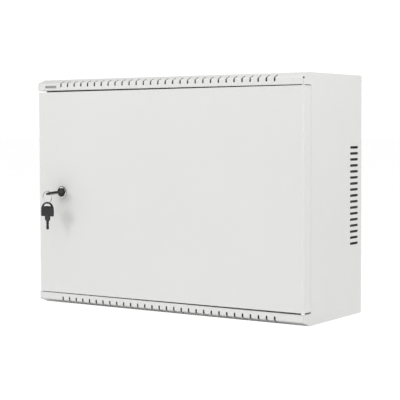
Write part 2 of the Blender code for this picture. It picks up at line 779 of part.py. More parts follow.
def add_bracket(name, side, height):
    """The Z-shaped bracket that carries a rail on the side panel, and its screw."""
    outer = RAIL_OUTER_X + CLEARANCE + BRACKET_THICKNESS
    wall = side * INNER_X
    corners = [
        (wall, -5.0),
        (wall, -35.0),
        (side * outer, -35.0),
        (side * outer, -58.0),
    ]
    low_z = height - BRACKET_HEIGHT / 2
    bracket = add_sheet(
        name + "_bracket",
        folded_path([Vector(corner) for corner in corners], (2.0, 2.0), 2),
        lambda across, along: (across, along, low_z),
        (0, 0, BRACKET_HEIGHT),
        (side, 0, 0),
        BRACKET_THICKNESS,
        ZINC,
    )
    start = (side * (outer - 5), RAIL_SCREW_Y, height)
    end = (side * (outer + 4), RAIL_SCREW_Y, height)
    cut(bracket, add_cylinder(name + "_bracket_hole", start, end, RAIL_SCREW_HOLE_RADIUS, 12))
    head = side * (RAIL_OUTER_X - RAIL_THICKNESS - CLEARANCE)
    crown = head - side * RAIL_SCREW_HEAD_HEIGHT
    tip = head + side * RAIL_SCREW_LENGTH
    ends = (head, RAIL_SCREW_Y, height), (crown, RAIL_SCREW_Y, height)
    screw = add_cylinder(name + "_rail_screw", *ends, RAIL_SCREW_HEAD_RADIUS, 16, ZINC)
    ends = (head - side, RAIL_SCREW_Y, height), (tip, RAIL_SCREW_Y, height)
    join(screw, add_cylinder(name + "_rail_screw_shank", *ends, RAIL_SCREW_RADIUS, 12))


def add_cable_entry(name, on_top):
    """The plate that closes a cable entry from inside, and its two screws."""
    inward = -1 if on_top else 1
    skin = (HEIGHT if on_top else 0.0) + inward * (SHEET + CLEARANCE)
    faces = sorted((skin, skin + inward * ENTRY_COVER_THICKNESS))
    outline = rectangle((-ENTRY_COVER_X, ENTRY_COVER_Y[0]), (ENTRY_COVER_X, ENTRY_COVER_Y[1]))
    loops = [outline]
    for side in (-1, 1):
        centre = (side * ENTRY_SCREW_X, ENTRY_SCREW_Y)
        loops.append(arc(centre, ENTRY_SCREW_HOLE_RADIUS, 0, 330, 11))
    add_plate(name + "_cable_cover", "XY", loops, *faces, POWDER_COAT)
    for side, word in ((-1, "left"), (1, "right")):
        across = side * ENTRY_SCREW_X
        head = skin + inward * (ENTRY_COVER_THICKNESS + CLEARANCE)
        crown = head + inward * ENTRY_SCREW_HEAD_HEIGHT
        screw_name = f"{name}_cover_{word}_screw"
        ends = (across, ENTRY_SCREW_Y, head), (across, ENTRY_SCREW_Y, crown)
        screw = add_cylinder(screw_name, *ends, ENTRY_SCREW_HEAD_RADIUS, 16, ZINC)
        tip = (across, ENTRY_SCREW_Y, head - inward * ENTRY_SCREW_LENGTH)
        inside = (across, ENTRY_SCREW_Y, head + inward)
        join(screw, add_cylinder(screw_name + "_shank", tip, inside, ENTRY_SCREW_RADIUS, 12))


def add_small_parts():
    face = FRONT_Y - CLEARANCE
    low = (NAMEPLATE_X[0], face - NAMEPLATE_THICKNESS, NAMEPLATE_Z[0])
    high = (NAMEPLATE_X[1], face, NAMEPLATE_Z[1])
    add_box("blank_nameplate", low, high, PLATE_GREY)

    root = BACK_Y - SHEET - CLEARANCE
    ends = (STUD_X, root - STUD_LENGTH, STUD_Z), (STUD_X, root, STUD_Z)
    add_cylinder("earth_stud", *ends, STUD_RADIUS, 16, BRASS)
    near, far = STUD_NUT_REACH
    ends = (STUD_X, root - far, STUD_Z), (STUD_X, root - near, STUD_Z)
    nut = add_cylinder("earth_nut", *ends, STUD_NUT_RADIUS, 6, BRASS)
    ends = (STUD_X, root - far - 3, STUD_Z), (STUD_X, root - near + 3, STUD_Z)
    cut(nut, add_cylinder("earth_nut_bore", *ends, STUD_RADIUS + CLEARANCE, 16))


def build():
    for side, word in ((-1, "left"), (1, "right")):
        add_side_panel(f"{word}_side_panel", side)
        add_rail(f"{word}_rack_rail", side)
        for height, level in zip(BRACKET_Z, ("lower", "upper")):
            add_bracket(f"{word}_{level}", side, height)
    for level, on_top in (("top", True), ("bottom", False)):
        add_cover(f"{level}_cover", on_top)
        add_cable_entry(level, on_top)
    add_back_panel()
    add_door()
    rise = DOOR_LEAN * HINGE_X / SIDE_X
    add_hinge("upper", DOOR_HIGH_Z + rise, HEIGHT - STRIP)
    add_hinge("lower", STRIP, DOOR_LOW_Z + rise)
    add_lock()
    add_keys()
    add_small_parts()


build()
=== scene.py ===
"""The looks of the wall-mounted network cabinet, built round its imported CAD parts.

Everything is in metres in the CAD frame: the door faces -Y, +Z is up and the base is at z = 0.
Flat sheet parts keep their CAD shape and get a finish. The lock, keys, ring, screws, nuts and
nameplate get finer shapes that stand for their CAD nodes.
"""

import json
import math

import bmesh
import bpy
from mathutils import Matrix, Vector


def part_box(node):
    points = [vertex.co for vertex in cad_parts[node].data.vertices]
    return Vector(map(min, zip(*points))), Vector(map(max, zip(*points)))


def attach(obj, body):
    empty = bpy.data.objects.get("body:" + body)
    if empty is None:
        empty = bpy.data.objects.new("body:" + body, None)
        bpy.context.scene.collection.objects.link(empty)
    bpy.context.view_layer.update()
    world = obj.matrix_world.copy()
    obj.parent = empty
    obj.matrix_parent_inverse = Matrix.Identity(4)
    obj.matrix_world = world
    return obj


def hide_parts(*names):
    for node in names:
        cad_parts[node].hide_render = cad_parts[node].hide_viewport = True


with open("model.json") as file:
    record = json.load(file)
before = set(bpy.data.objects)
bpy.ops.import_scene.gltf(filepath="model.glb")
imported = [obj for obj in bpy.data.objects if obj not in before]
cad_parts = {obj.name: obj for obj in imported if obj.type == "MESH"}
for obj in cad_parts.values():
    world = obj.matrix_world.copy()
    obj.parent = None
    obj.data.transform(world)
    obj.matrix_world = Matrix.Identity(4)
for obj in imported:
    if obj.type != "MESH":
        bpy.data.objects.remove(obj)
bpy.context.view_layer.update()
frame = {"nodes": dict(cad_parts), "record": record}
NODES = frame["nodes"]
RECORD = frame["record"]
MM = 0.001
SLOT_OF = {entry["node"]: entry["material_slot"] for entry in RECORD["subparts"]}
BODY_OF = {}
for body, members in RECORD["behaviour"]["bodies"].items():
    BODY_OF.update(dict.fromkeys(members, body))

CAMERA_AZIMUTH = 34.2
CAMERA_ELEVATION = 3.313
CAMERA_ROLL = -0.232
CAMERA_PLACE = (1.2227, -1.7839, 0.3112)
CAMERA_LENS = 112.86
WORLD_STRENGTH = 1.07
FLOOR_DROP = 0.3
SHADE_CARD_SIZE = (0.56, 0.1)
SHADE_CARD_PLACE = (0.0, -0.052, -0.017)
SOFT_BOXES = (
    ("key_softbox", -16, 19, 1.9, 0.48, 10.5, (1, 1, 1), (-0.2165, -0.097, 0.2)),
    ("top_softbox", 12, 58, 1.3, 1.0, 5.6, (1, 1, 1), (0.05, -0.1, 0.38)),
    ("side_softbox", 80, 38, 1.1, 0.6, 7.6, (1, 0.982, 0.99), (0.27, -0.06, 0.4)),
)


# ---------------------------------------------------------------- camera, floor and light


def add_camera():
    data = bpy.data.cameras.new("camera")
    data.lens = CAMERA_LENS
    data.sensor_width = 36
    data.clip_end = 200
    camera = bpy.data.objects.new("camera", data)
    turn = Matrix.Rotation(math.radians(CAMERA_AZIMUTH), 4, "Z")
    tip = Matrix.Rotation(math.radians(90 - CAMERA_ELEVATION), 4, "X")
    roll = Matrix.Rotation(math.radians(CAMERA_ROLL), 4, "Z")
    camera.matrix_world = Matrix.Translation(CAMERA_PLACE) @ turn @ tip @ roll
    bpy.context.scene.collection.objects.link(camera)
    bpy.context.scene.camera = camera


def add_area_light(name, azimuth, elevation, distance, size, power, colour, aim):
    """A square soft box that polished parts don't mirror. Azimuth 0 is in front of the door and
    90 is to its right."""
    data = bpy.data.lights.new(name, "AREA")
    data.shape = "SQUARE"
    data.size = size
    data.energy = power
    data.color = colour
    light = bpy.data.objects.new(name, data)
    turn, rise = math.radians(azimuth), math.radians(elevation)
    away = Vector(
        (
            math.sin(turn) * math.cos(rise),
            -math.cos(turn) * math.cos(rise),
            math.sin(rise),
        )
    )
    light.location = Vector(aim) + away * distance
    light.visible_glossy = False
    light.rotation_mode = "QUATERNION"
    light.rotation_quaternion = away.to_track_quat("Z", "Y")
    bpy.context.scene.collection.objects.link(light)


def add_world():
    """A white room. In reflections it darkens above the horizon, as a photo studio does."""
    world = bpy.data.worlds.new("studio")
    world.use_nodes = True
    nodes, links = world.node_tree.nodes, world.node_tree.links
    direction = nodes.new("ShaderNodeTexCoord").outputs["Generated"]
    height = nodes.new("ShaderNodeSeparateXYZ")
    links.new(direction, height.inputs["Vector"])
    ceiling = nodes.new("ShaderNodeMapRange")
    ceiling.inputs["From Min"].default_value = 0.0
    ceiling.inputs["From Max"].default_value = 0.25
    ceiling.inputs["To Min"].default_value = 0.0
    ceiling.inputs["To Max"].default_value = 0.93
    links.new(height.outputs["Z"], ceiling.inputs["Value"])
    seen = nodes.new("ShaderNodeMath")
    seen.operation = "MULTIPLY"
    links.new(ceiling.outputs["Result"], seen.inputs[0])
    links.new(nodes.new("ShaderNodeLightPath").outputs["Is Glossy Ray"], seen.inputs[1])
    strength = nodes.new("ShaderNodeMath")
    strength.operation = "MULTIPLY_ADD"
    links.new(seen.outputs["Value"], strength.inputs[0])
    strength.inputs[1].default_value = -WORLD_STRENGTH
    strength.inputs[2].default_value = WORLD_STRENGTH
    background = nodes["Background"]
    background.inputs["Color"].default_value = (1, 1, 1, 1)
    links.new(strength.outputs["Value"], background.inputs["Strength"])
    bpy.context.scene.world = world


def add_shade_card():
    """A dark card low in front, out of sight, that keeps the floor's light off the lower edge."""
    shape = bmesh.new()
    width, depth = SHADE_CARD_SIZE
    matrix = Matrix.Translation(SHADE_CARD_PLACE) @ Matrix.Diagonal((width, depth, 1, 1))
    bmesh.ops.create_grid(shape, x_segments=1, y_segments=1, size=0.5, matrix=matrix)
    mesh = bpy.data.meshes.new("shade_card")
    shape.to_mesh(mesh)
    shape.free()
    card = bpy.data.objects.new("shade_card", mesh)
    card.visible_camera = False
    bpy.context.scene.collection.objects.link(card)
    material = bpy.data.materials.new("shade_card_finish")
    material.use_nodes = True
    shader = material.node_tree.nodes["Principled BSDF"]
    shader.inputs["Base Color"].default_value = (0.05, 0.05, 0.05, 1)
    shader.inputs["Roughness"].default_value = 0.9
    mesh.materials.append(material)


def add_studio():
    add_world()
    bpy.context.scene.view_settings.view_transform = "Standard"

    shape = bmesh.new()
    bmesh.ops.create_grid(shape, x_segments=1, y_segments=1, size=60)
    mesh = bpy.data.meshes.new("floor")
    shape.to_mesh(mesh)
    shape.free()
    floor = bpy.data.objects.new("floor", mesh)
    floor.location.z = -FLOOR_DROP
    bpy.context.scene.collection.objects.link(floor)
    mesh.materials.append(make_floor_finish())

    add_shade_card()
    for name, azimuth, elevation, distance, size, power, colour, aim in SOFT_BOXES:
        add_area_light(name, azimuth, elevation, distance, size, power, colour, aim)


# ---------------------------------------------------------------- finishes


class Finish:
    """A Principled material with helpers that wire procedural detail into it."""

    def __init__(self, name, metallic, coat=0.0):
        self.material = bpy.data.materials.new(name)
        self.material.use_nodes = True
        self.tree = self.material.node_tree
        self.shader = self.tree.nodes["Principled BSDF"]
        self.shader.inputs["Metallic"].default_value = metallic
        self.shader.inputs["Coat Weight"].default_value = coat
        self.shader.inputs["Coat Roughness"].default_value = 0.25
        self.place = self.tree.nodes.new("ShaderNodeTexCoord").outputs["Object"]
        self.normal = None

    def link(self, source, target):
        self.tree.links.new(source, target)

    def noise(self, scale, detail=3.0, stretch=(1, 1, 1), roughness=0.55):
        mapping = self.tree.nodes.new("ShaderNodeMapping")
        mapping.inputs["Scale"].default_value = stretch
        self.link(self.place, mapping.inputs["Vector"])
        node = self.tree.nodes.new("ShaderNodeTexNoise")
        node.inputs["Scale"].default_value = scale
        node.inputs["Detail"].default_value = detail
        node.inputs["Roughness"].default_value = roughness
        self.link(mapping.outputs["Vector"], node.inputs["Vector"])
        return node.outputs["Fac"]

    def ramp(self, source, stops):
        """Maps a 0-1 value to colours; stops are (position, colour) pairs."""
        node = self.tree.nodes.new("ShaderNodeValToRGB")
        band = node.color_ramp
        while len(band.elements) < len(stops):
            band.elements.new(0.5)
        for element, (position, colour) in zip(band.elements, stops):
            element.position = position
            element.color = (*colour, 1)
        self.link(source, node.inputs["Fac"])
        return node.outputs["Color"]

    def mix(self, factor, first, second):
        node = self.tree.nodes.new("ShaderNodeMix")
        node.data_type = "RGBA"
        sockets = [s for s in node.inputs if s.type == "RGBA"]
        self.link(factor, node.inputs[0])
        for socket, value in zip(sockets, (first, second)):
            if isinstance(value, tuple):
                socket.default_value = (*value, 1)
            else:
                self.link(value, socket)
        return [s for s in node.outputs if s.type == "RGBA"][0]

    def threshold(self, source, low, high):
        node = self.tree.nodes.new("ShaderNodeMapRange")
        node.inputs["From Min"].default_value = low
        node.inputs["From Max"].default_value = high
        self.link(source, node.inputs["Value"])
        return node.outputs["Result"]

    def map_range(self, source, low, high):
        node = self.tree.nodes.new("ShaderNodeMapRange")
        node.inputs["From Min"].default_value = 0.3
        node.inputs["From Max"].default_value = 0.7
        node.inputs["To Min"].default_value = low
        node.inputs["To Max"].default_value = high
        self.link(source, node.inputs["Value"])
        return node.outputs["Result"]

    def bump(self, height, strength, distance):
        node = self.tree.nodes.new("ShaderNodeBump")
        node.inputs["Strength"].default_value = strength
        node.inputs["Distance"].default_value = distance
        self.link(height, node.inputs["Height"])
        if self.normal is not None:
            self.link(self.normal, node.inputs["Normal"])
        self.normal = node.outputs["Normal"]
        self.link(self.normal, self.shader.inputs["Normal"])

    def colour(self, source):
        self.link(source, self.shader.inputs["Base Color"])

    def roughness(self, source):
        self.link(source, self.shader.inputs["Roughness"])


def shade(colour, factor):
    return tuple(channel * factor for channel in colour)


def make_floor_finish():
    finish = Finish("floor_paper", 0.0)
    finish.colour(finish.ramp(finish.noise(3.0), [(0.3, (0.975,) * 3), (0.7, (0.985,) * 3)]))
    finish.roughness(finish.map_range(finish.noise(40.0), 0.7, 0.8))
    finish.shader.inputs["Specular IOR Level"].default_value = 0.1
    return finish.material


def make_powder_coat(name, colour):
    """Satin powder coat: faint orange peel, slightly uneven tone and sheen, a few dust specks."""
    finish = Finish(name, 0.0)
    tone = finish.ramp(
        finish.noise(5.0, detail=4.0),
        [(0.3, shade(colour, 0.985)), (0.7, shade(colour, 1.01))],
    )
    speck = finish.threshold(finish.noise(900.0, detail=1.0), 0.72, 0.78)
    finish.colour(finish.mix(speck, tone, shade(colour, 0.9)))
    finish.roughness(finish.map_range(finish.noise(30.0, detail=5.0), 0.44, 0.56))
    finish.bump(finish.noise(420.0, detail=2.0), 0.06, 0.0004)
    finish.bump(finish.noise(1500.0, detail=1.0), 0.05, 0.0002)
    return finish.material


def make_plated_metal(name, colour, low_roughness, high_roughness, grain, dirt):
    """Plated metal with a drawn grain, blotches of tone and rubbed, darker patches."""
    finish = Finish(name, 1.0)
    blotch = finish.noise(120.0, detail=5.0)
    tone = finish.ramp(blotch, [(0.3, shade(colour, 0.86)), (0.7, shade(colour, 1.08))])
    rubbed = finish.threshold(finish.noise(260.0, detail=6.0), 0.5, 0.8)
    finish.colour(finish.mix(rubbed, tone, shade(colour, dirt)))
    grainy = finish.noise(900.0, detail=2.0, stretch=grain)
    finish.roughness(finish.map_range(grainy, low_roughness, high_roughness))
    finish.bump(grainy, 0.12, 0.0001)
    finish.bump(blotch, 0.06, 0.0003)
    return finish.material


def make_plastic(name, colour, roughness):
    finish = Finish(name, 0.0)
    tone = finish.ramp(
        finish.noise(160.0, detail=4.0),
        [(0.3, shade(colour, 0.94)), (0.7, shade(colour, 1.04))],
    )
    finish.colour(tone)
    finish.roughness(finish.map_range(finish.noise(500.0), roughness - 0.08, roughness + 0.08))
    finish.bump(finish.noise(2200.0, detail=2.0), 0.1, 0.0001)
    return finish.material


EVEN = (1, 1, 1)
ALONG_Y = (1, 0.2, 1)
ALONG_X = (0.2, 1, 1)
ALONG_Z = (1, 1, 0.1)

FINISHES = {
    "powder_coat": make_powder_coat("powder_coat_finish", (0.496, 0.498, 0.491)),
    "zinc_plate": make_plated_metal("zinc_finish", (0.6, 0.61, 0.63), 0.28, 0.42, ALONG_Z, 0.7),
    "chrome": make_plated_metal("chrome_finish", (0.62, 0.62, 0.635), 0.08, 0.16, EVEN, 0.8),
    "dark_chrome": make_plated_metal(
        "dark_chrome_finish", (0.08, 0.08, 0.083), 0.1, 0.2, EVEN, 0.7
    ),
    # The plug's near-black colour is painted shade: it stands in for the key's shadow over the
    # plug face and is far darker than brass is.
    "plug_brass": make_plated_metal("plug_painted_shade_finish", (0.07, 0.069, 0.067), 0.22, 0.34, ALONG_Y, 0.6),
    # The keys' near-black colour is painted shade: nickel shown as if shaded, far darker than the
    # metal is.
    "key_nickel": make_plated_metal("key_painted_shade_finish", (0.06, 0.06, 0.062), 0.26, 0.4, ALONG_X, 0.6),
    "nylon": make_plastic("nylon_finish", (0.72, 0.71, 0.68), 0.5),
    "nameplate_grey": make_plastic("nameplate_finish", (0.2, 0.2, 0.202), 0.45),
}


def finish_cad_nodes():
    for entry in RECORD["subparts"]:
        obj = NODES[entry["node"]]
        for index in range(max(1, len(obj.material_slots))):
            if len(obj.material_slots) <= index:
                obj.data.materials.append(FINISHES[entry["material_slot"]])
            obj.material_slots[index].material = FINISHES[entry["material_slot"]]


# ---------------------------------------------------------------- shapes, in millimetres


def turned(profile, segments, closed=False):
    """A shape turned about Z from (radius, height) points."""
    shape = bmesh.new()
    rings = []
    for radius, height in profile:
        if radius == 0:
            rings.append([shape.verts.new((0, 0, height))] * segments)
            continue
        turns = [math.tau * step / segments for step in range(segments)]
        rings.append([shape.verts.new(around(radius, turn, height)) for turn in turns])
    pairs = list(zip(rings, rings[1:]))
    if closed:
        pairs.append((rings[-1], rings[0]))
    for lower, upper in pairs:
        for step in range(segments):
            after = (step + 1) % segments
            corners = (lower[step], lower[after], upper[after], upper[step])
            shape.faces.new(list(dict.fromkeys(corners)))
    bmesh.ops.recalc_face_normals(shape, faces=shape.faces)
    return shape


def around(radius, turn, height):
    return (radius * math.cos(turn), radius * math.sin(turn), height)


def threaded(radius, depth, pitch, low, high, segments=40):
    """The helical surface of a screw thread along Z, open at both ends."""
    shape = bmesh.new()
    pattern = ((0.0, radius - depth), (0.12, radius - depth), (0.5, radius), (0.62, radius))
    rows = []
    for turn in range(-1, math.ceil((high - low) / pitch) + 1):
        rows += [(low + (turn + share) * pitch, reach) for share, reach in pattern]
    columns = []
    for step in range(segments + 1):
        rise, angle = pitch * step / segments, math.tau * step / segments
        column = []
        for height, reach in rows:
            place = min(max(height + rise, low), high)
            column.append(shape.verts.new(around(reach, angle, place)))
        columns.append(column)
    for left, right in zip(columns, columns[1:]):
        for lower in range(len(rows) - 1):
            corners = (left[lower], right[lower], right[lower + 1], left[lower + 1])
            shape.faces.new(corners)
    bmesh.ops.remove_doubles(shape, verts=shape.verts, dist=1e-4)
    bmesh.ops.dissolve_degenerate(shape, edges=shape.edges, dist=1e-4)
    return shape


def circle(centre, radius, steps=24):
    turns = [math.tau * step / steps for step in range(steps)]
    return [(centre[0] + radius * math.cos(t), centre[1] + radius * math.sin(t)) for t in turns]


def arc(centre, radius, start, end, steps):
    """Points on an arc between two angles in degrees."""
    turns = [math.radians(start + (end - start) * step / steps) for step in range(steps + 1)]
    return [(centre[0] + radius * math.cos(t), centre[1] + radius * math.sin(t)) for t in turns]


def rounded_rectangle(half_width, half_height, radius, centre=(0, 0), steps=4):
    points = []
    for right, up, start in ((1, 1, 0), (-1, 1, 90), (-1, -1, 180), (1, -1, 270)):
        corner = (
            centre[0] + right * (half_width - radius),
            centre[1] + up * (half_height - radius),
        )
        points += arc(corner, radius, start, start + 90, steps)
    return points


def turned_about(points, degrees):
    """Plane points turned about the origin."""
    turn = Matrix.Rotation(math.radians(degrees), 2)
    return [tuple(turn @ Vector(point)) for point in points]


def plate(loops, low, high, bevel=0.0):
    """A flat plate from low to high with rounded edges; loops after the first are holes."""
    curve = bpy.data.curves.new("outline", "CURVE")
    curve.dimensions = "2D"
    curve.fill_mode = "BOTH"
    curve.extrude = (high - low) / 2 - bevel
    curve.bevel_depth = bevel
    curve.bevel_resolution = 1
    curve.offset = -bevel
    for loop in loops:
        spline = curve.splines.new("POLY")
        spline.points.add(len(loop) - 1)
        spline.use_cyclic_u = True
        for point, (across, up) in zip(spline.points, loop):
            point.co = (across, up, 0, 1)
    mesh = baked(bpy.data.objects.new("outline", curve))
    shape = bmesh.new()
    shape.from_mesh(mesh)
    bmesh.ops.remove_doubles(shape, verts=shape.verts, dist=1e-4)
    bmesh.ops.translate(shape, verts=shape.verts, vec=(0, 0, (low + high) / 2))
    bmesh.ops.recalc_face_normals(shape, faces=shape.faces)
    return shape


def block(low, high, taper=1.0):
    """A box whose top end is narrower by taper."""
    shape = bmesh.new()
    low, high = Vector(low), Vector(high)
    centre = (low + high) / 2
    matrix = Matrix.Translation(centre) @ Matrix.Diagonal((*(high - low), 1))
    bmesh.ops.create_cube(shape, size=1, matrix=matrix)
    for vert in shape.verts:
        if vert.co.z < centre.z:
            vert.co.x = centre.x + (vert.co.x - centre.x) * taper
            vert.co.y = centre.y + (vert.co.y - centre.y) * taper
    return shape


def baked(obj):
    """The finished mesh of an object that is then removed."""
    bpy.context.scene.collection.objects.link(obj)
    graph = bpy.context.evaluated_depsgraph_get()
    mesh = bpy.data.meshes.new_from_object(obj.evaluated_get(graph))
    bpy.data.objects.remove(obj)
    return mesh


def mesh_of(shape, name="shape"):
    mesh = bpy.data.meshes.new(name)
    shape.to_mesh(mesh)
    shape.free()
    return mesh


def gathered(shapes):
    """Several shapes as one."""
    whole = bmesh.new()
    for shape in shapes:
        whole.from_mesh(mesh_of(shape))
    return whole


def carved(shape, cutters, operation="DIFFERENCE"):
    """A shape after Booleans with the others, one at a time."""
    mesh = mesh_of(shape)
    for cutter in cutters:
        tool = bpy.data.objects.new("tool", mesh_of(cutter))
        bpy.context.scene.collection.objects.link(tool)
        work = bpy.data.objects.new("work", mesh)
        modifier = work.modifiers.new("carve", "BOOLEAN")
        modifier.operation = operation
        modifier.solver = "EXACT"
        modifier.object = tool
        mesh = baked(work)
        bpy.data.objects.remove(tool)
    result = bmesh.new()
    result.from_mesh(mesh)
    return result


# ---------------------------------------------------------------- pieces that stand for CAD nodes


def box_mm(node):
    low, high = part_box(node)
    return low / MM, high / MM


def middle_mm(node):
    low, high = box_mm(node)
    return (low + high) / 2


def looking(origin, axis, turn=0.0):
    """A frame at origin whose Z looks along axis, turned about it by so many degrees."""
    facing = Vector(axis).to_track_quat("Z", "Y").to_matrix().to_4x4()
    return Matrix.Translation(origin) @ facing @ Matrix.Rotation(math.radians(turn), 4, "Z")


def add_piece(node, shape, place, sharp=38, bright=None):
    """The finer shape that stands for a CAD node. It takes the node's body and finish; bright
    picks the faces that get the polished finish instead."""
    slot = SLOT_OF[node]
    mesh = bpy.data.meshes.new(node + "_detail")
    if bright:
        for face in shape.faces:
            face.material_index = 1 if bright(face.calc_center_median()) else 0
    shape.transform(Matrix.Scale(MM, 4) @ place)
    shape.to_mesh(mesh)
    shape.free()
    mesh.materials.append(FINISHES[slot])
    if bright:
        mesh.materials.append(FINISHES["chrome"])
    mesh.shade_smooth()
    mesh.set_sharp_from_angle(angle=math.radians(sharp))
    piece = bpy.data.objects.new(node + "_detail", mesh)
    bpy.context.scene.collection.objects.link(piece)
    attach(piece, BODY_OF[node])
    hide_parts(node)
    return piece


def cross_recess(width, depth, top):
    """Two crossed wedges that cut a Phillips recess down from top."""
    arm, thick = width / 2, width / 7
    first = block((-arm, -thick, top - depth), (arm, thick, top + 0.3), 0.45)
    second = block((-thick, -arm, top - depth), (thick, arm, top + 0.3), 0.45)
    return [first, second]


def add_screw(node, axis, head_radius, head_height, shank_radius, pitch):
    """A pan-head screw with a cross recess and a threaded shank. axis is where its head looks."""
    low, high = box_mm(node)
    axis = Vector(axis)
    length = abs((high - low).dot(axis))
    crown = middle_mm(node) + axis * length / 2
    dome = [(0, 0), (head_radius * 0.35, -0.05), (head_radius * 0.62, -0.22)]
    dome += [(head_radius * 0.82, -0.55), (head_radius * 0.95, -1.0), (head_radius, -1.5)]
    under = [(head_radius, 0.12 - head_height), (head_radius - 0.12, -head_height)]
    head = turned(dome + under + [(shank_radius - 0.1, -head_height), (0, -head_height)], 40)
    head = carved(head, cross_recess(head_radius * 1.1, head_height * 0.62, 0))
    core = shank_radius - 0.4
    tip = [(core, 0.3 - head_height), (core, 0.5 - length), (core - 0.5, -length), (0, -length)]
    shank = turned([(0, 0.3 - head_height), *tip], 24)
    thread = threaded(shank_radius, 0.35, pitch, 0.5 - length, -head_height, 24)
    add_piece(node, gathered([head, shank, thread]), looking(crown, axis, 20))


def add_hex_nut(node, axis, bore_radius, pitch):
    """A hexagon nut with turned chamfers and a threaded bore. Its corners point up and down."""
    low, high = box_mm(node)
    corner = (high.z - low.z) / 2
    half = (high.y - low.y) / 2
    outline = [around(corner, math.radians(60 * side + 90), 0)[:2] for side in range(6)]
    flat = corner * math.cos(math.radians(30))
    rise = (corner * 1.03 - flat * 0.97) * 0.5
    profile = [
        (0, -half),
        (flat * 0.97, -half),
        (corner * 1.03, -half + rise),
        (corner * 1.03, half - rise),
        (flat * 0.97, half),
        (0, half),
    ]
    body = carved(plate([outline], -half, half), [turned(profile, 48)], "INTERSECT")
    lead = 0.45
    bore = [
        (0, -half - 1),
        (bore_radius + lead + 1, -half - 1),
        (bore_radius, -half + lead),
        (bore_radius, half - lead),
        (bore_radius + lead + 1, half + 1),
        (0, half + 1),
    ]
    body = carved(body, [turned(bore, 48)])
    thread = threaded(bore_radius + 0.02, -0.22, pitch, -half + lead, half - lead)
    bmesh.ops.reverse_faces(thread, faces=thread.faces)
    add_piece(node, gathered([body, thread]), looking(middle_mm(node), axis))


LOCK_BORE = 6.3
LOCK_BARREL = 8.0
LOCK_FLANGE = 2.7
PLUG_RADIUS = 6.0
PLUG_SINK = 0.3
KEYWAY_HALF_WIDTH = 3.1
KEYWAY_HALF_HEIGHT = 1.3
KEYWAY_DEPTH = 15.5
KEY_DROP = 1.0
KEY_TILT = 10.5
BOSS_HALF = 3.5
BOSS_LENGTH = 2.8
CAM_SCREW_HOLE = 2.1
CAM_SCREW_DEPTH = 7.5


def add_lock_housing():
    """The lock's polished bezel, dished round the plug, and its threaded barrel."""
    low, high = box_mm("lock_housing")
    centre = (low + high) / 2
    rim = (high.x - low.x) / 2
    end = low.y - high.y
    profile = [
        (LOCK_BORE, end + 0.3),
        (LOCK_BORE, -1.3),
        (LOCK_BORE + 0.2, -1.05),
        (LOCK_BORE + 0.5, -0.95),
        (rim - 2.0, -0.28),
        (rim - 1.75, -0.06),
        (rim - 1.4, 0),
        (rim - 0.9, -0.1),
        (rim - 0.4, -0.45),
        (rim - 0.1, -1.0),
        (rim, -1.6),
        (rim, -LOCK_FLANGE + 0.15),
        (rim - 0.15, -LOCK_FLANGE),
        (LOCK_BARREL - 0.5, -LOCK_FLANGE),
        (LOCK_BARREL - 0.5, end + 0.5),
        (LOCK_BARREL - 1.0, end),
        (LOCK_BORE + 0.3, end),
    ]
    body = turned(profile, 72, closed=True)
    thread = threaded(LOCK_BARREL, 0.45, 1.0, end + 0.6, -LOCK_FLANGE - 0.3, 56)

    def on_bezel(point):
        reach = math.hypot(point.x, point.y)
        return -LOCK_FLANGE < point.z and LOCK_BORE + 0.3 < reach

    place = looking((centre.x, low.y, centre.z), (0, -1, 0))
    add_piece("lock_housing", gathered([body, thread]), place, bright=on_bezel)


def add_lock_plug():
    """The plug: a round face with the keyway, and a square boss behind it for the cam."""
    low, high = box_mm("lock_plug")
    centre = (low + high) / 2
    start = -PLUG_SINK
    end = low.y - high.y + start
    boss = end + BOSS_LENGTH
    keyway = rounded_rectangle(KEYWAY_HALF_WIDTH, KEYWAY_HALF_HEIGHT, 0.3, steps=2)
    keyway = [(x, y - KEY_DROP) for x, y in turned_about(keyway, KEY_TILT)]
    rim = circle((0, 0), PLUG_RADIUS, 64)
    hole = circle((0, 0), CAM_SCREW_HOLE)
    square = rounded_rectangle(BOSS_HALF, BOSS_HALF, 0.4)
    front = plate([rim, keyway], start - KEYWAY_DEPTH + PLUG_SINK, start, 0.22)
    groove = turned([(5.0, start - 0.25), (4.7, start + 1), (5.3, start + 1)], 64, closed=True)
    front = carved(front, [groove])
    screw_end = end + CAM_SCREW_DEPTH
    middle = plate([rim], screw_end, start - KEYWAY_DEPTH + 0.4)
    rear = plate([rim, hole], boss, screw_end)
    tail = plate([square, hole], end, boss, 0.2)
    place = looking((centre.x, low.y - PLUG_SINK, centre.z), (0, -1, 0))
    add_piece("lock_plug", gathered([front, middle, rear, tail]), place)


KEY_HALF = 13.3
KEY_HEAD_LENGTH = 24.8
KEY_COLLAR_HALF = 5.0
KEY_COLLAR_END = 31.0
KEY_COLLAR_LAP = 2.0
KEY_BLADE_START = 33.4
KEY_BLADE_HALF = 2.8
KEY_RIM = 2.3
KEY_HOLE_END = 8.1
KEY_HEAD_HALF_THICKNESS = 1.8
KEY_BLADE_HALF_THICKNESS = 1.0
KEY_CUTS = (0.9, 0.4, 1.1, 0.7, 0.3)


def both_edges(right):
    """A closed outline from its right edge and the same edge mirrored."""
    return right + [(-across, along) for across, along in right[::-1]]


